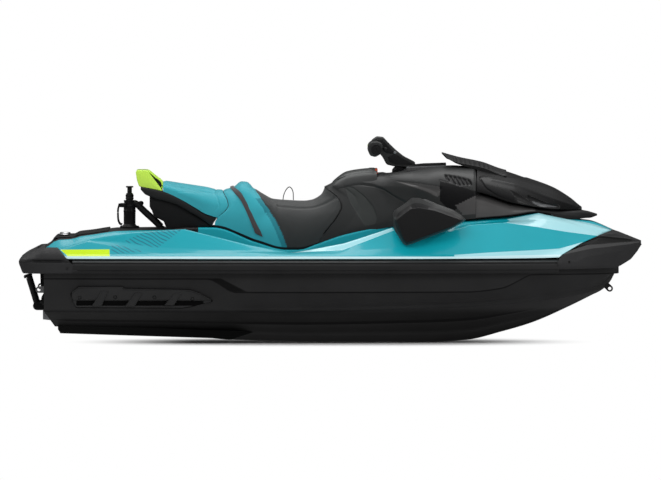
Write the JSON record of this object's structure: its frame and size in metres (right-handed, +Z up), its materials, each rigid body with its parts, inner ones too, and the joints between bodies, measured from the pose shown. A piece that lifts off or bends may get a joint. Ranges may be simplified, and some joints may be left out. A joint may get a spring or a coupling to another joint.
{
  "type": "personal watercraft",
  "caption": "Three-seat V-hulled personal watercraft with jet pump, steered nozzle, reverse gate, tow pylon, folding boarding step, lift-off rear seat and hinged front cover.",
  "frame": {"origin": "midships on the centre line at the waterline, 240 mm above the lowest point of the keel and 1725 mm forward of the stern bumper", "axes": "+X towards the bow, +Y to port, +Z up"},
  "size_m": [3.449, 1.25, 1.142],
  "materials": {
    "hull_grp": "satin dark charcoal moulding",
    "deck_gelcoat": "glossy teal moulding",
    "hood_gelcoat": "satin charcoal moulding",
    "bumper_plastic": "grained dark grey",
    "rail_rubber": "matt black",
    "black_plastic": "grained black",
    "grey_plastic": "satin grey",
    "console_plastic": "satin dark grey",
    "lime_plastic": "glossy lime",
    "mat_foam": "grooved foam",
    "seat_vinyl_dark": "grained vinyl",
    "seat_vinyl_teal": "grained vinyl",
    "strap_webbing": "woven",
    "display": "gloss black",
    "bar_steel": "satin black",
    "grip_rubber": "ribbed",
    "engine_alloy": "cast",
    "stainless": "polished",
    "pump_alloy": "cast, satin",
    "pylon_metal": "satin black"
  },
  "bodies": {
    "craft": {"hull": "hull_grp", "deck": "deck_gelcoat", "bow_bumper": "bumper_plastic", "stern_bumper": "bumper_plastic", "rub_rail_left": "rail_rubber", "rub_rail_right": "rail_rubber", "sponson_left": "black_plastic", "sponson_right": "black_plastic", "platform_mat": "mat_foam", "footwell_mats": "mat_foam", "cargo_anchors": "grey_plastic", "seat_support": "black_plastic", "driver_seat": "seat_vinyl_dark", "seat_strap": "strap_webbing", "seat_pull_loop": "strap_webbing", "console": "console_plastic", "nose_fairing": "black_plastic", "storage_bin": "black_plastic", "gauge": "display", "mirror_left": "console_plastic", "mirror_right": "console_plastic", "engine": "engine_alloy", "pump_housing": "pump_alloy", "ride_plate": "pump_alloy", "intake_grate": "pump_alloy", "pylon_base": "black_plastic", "spotter_handles": "black_plastic", "step_brackets": "bar_steel", "bow_eye": "stainless", "stern_eyes": "stainless", "drain_plugs": "black_plastic"},
    "steering": {"steering_arm": "black_plastic", "handlebar": "bar_steel", "grips": "grip_rubber", "control_pods": "black_plastic", "throttle_lever": "black_plastic", "brake_lever": "black_plastic"},
    "front_cover": {"hood": "hood_gelcoat", "hood_deflector": "black_plastic"},
    "glovebox": {"glovebox_lid": "console_plastic"},
    "rear_seat": {"passenger_seat": "seat_vinyl_teal", "seat_trim": "black_plastic", "grab_handle": "lime_plastic"},
    "pylon": {"pylon_post": "pylon_metal"},
    "boarding_step": {"step_frame": "bar_steel", "step_tread": "black_plastic"},
    "rotor": {"impeller": "stainless", "drive_shaft": "stainless"},
    "nozzle_ring": {"trim_ring": "pump_alloy"},
    "nozzle": {"steering_nozzle": "pump_alloy"},
    "gate": {"reverse_gate": "black_plastic"}
  },
  "joints": [
    {"name": "steering_turn", "type": "hinge", "parent": "craft", "child": "steering", "pos_m": [0.395, 0, 0.705], "axis": [-0.5736, 0, 0.8192], "range_deg": [-20, 20]},
    {"name": "cover_hinge", "type": "hinge", "parent": "craft", "child": "front_cover", "pos_m": [1.396, 0, 0.496], "axis": [0, 1, 0], "range_deg": [0, 50]},
    {"name": "glovebox_hinge", "type": "hinge", "parent": "craft", "child": "glovebox", "pos_m": [0.261, 0, 0.71], "axis": [0, 1, 0], "range_deg": [0, 60]},
    {"name": "rear_seat_lift", "type": "slide", "parent": "craft", "child": "rear_seat", "axis": [-0.5, 0, 0.866], "range_m": [0, 0.2]},
    {"name": "pylon_slide", "type": "slide", "parent": "craft", "child": "pylon", "axis": [0, 0, -1], "range_m": [-0.23, 0]},
    {"name": "step_swing", "type": "hinge", "parent": "craft", "child": "boarding_step", "pos_m": [-1.625, 0, -0.035], "axis": [0, -1, 0], "range_deg": [0, 155], "stiffness_Nm_per_rad": 0.5, "springref_deg": -45.84},
    {"name": "impeller_spin", "type": "hinge", "parent": "craft", "child": "rotor", "pos_m": [-1.069, 0, -0.065], "axis": [1, 0, 0], "continuous": true},
    {"name": "nozzle_trim", "type": "hinge", "parent": "craft", "child": "nozzle_ring", "pos_m": [-1.466, 0, -0.065], "axis": [0, 1, 0], "range_deg": [-8, 8]},
    {"name": "nozzle_steer", "type": "hinge", "parent": "nozzle_ring", "child": "nozzle", "pos_m": [-1.48, 0, -0.065], "axis": [0, 0, 1], "range_deg": [-20, 20]},
    {"name": "gate_swing", "type": "hinge", "parent": "craft", "child": "gate", "pos_m": [-1.466, 0, -0.065], "axis": [0, -1, 0], "range_deg": [0, 75]}
  ],
  "couplings": [
    {"joint": "nozzle_steer", "follows": "steering_turn", "ratio": -1}
  ]
}
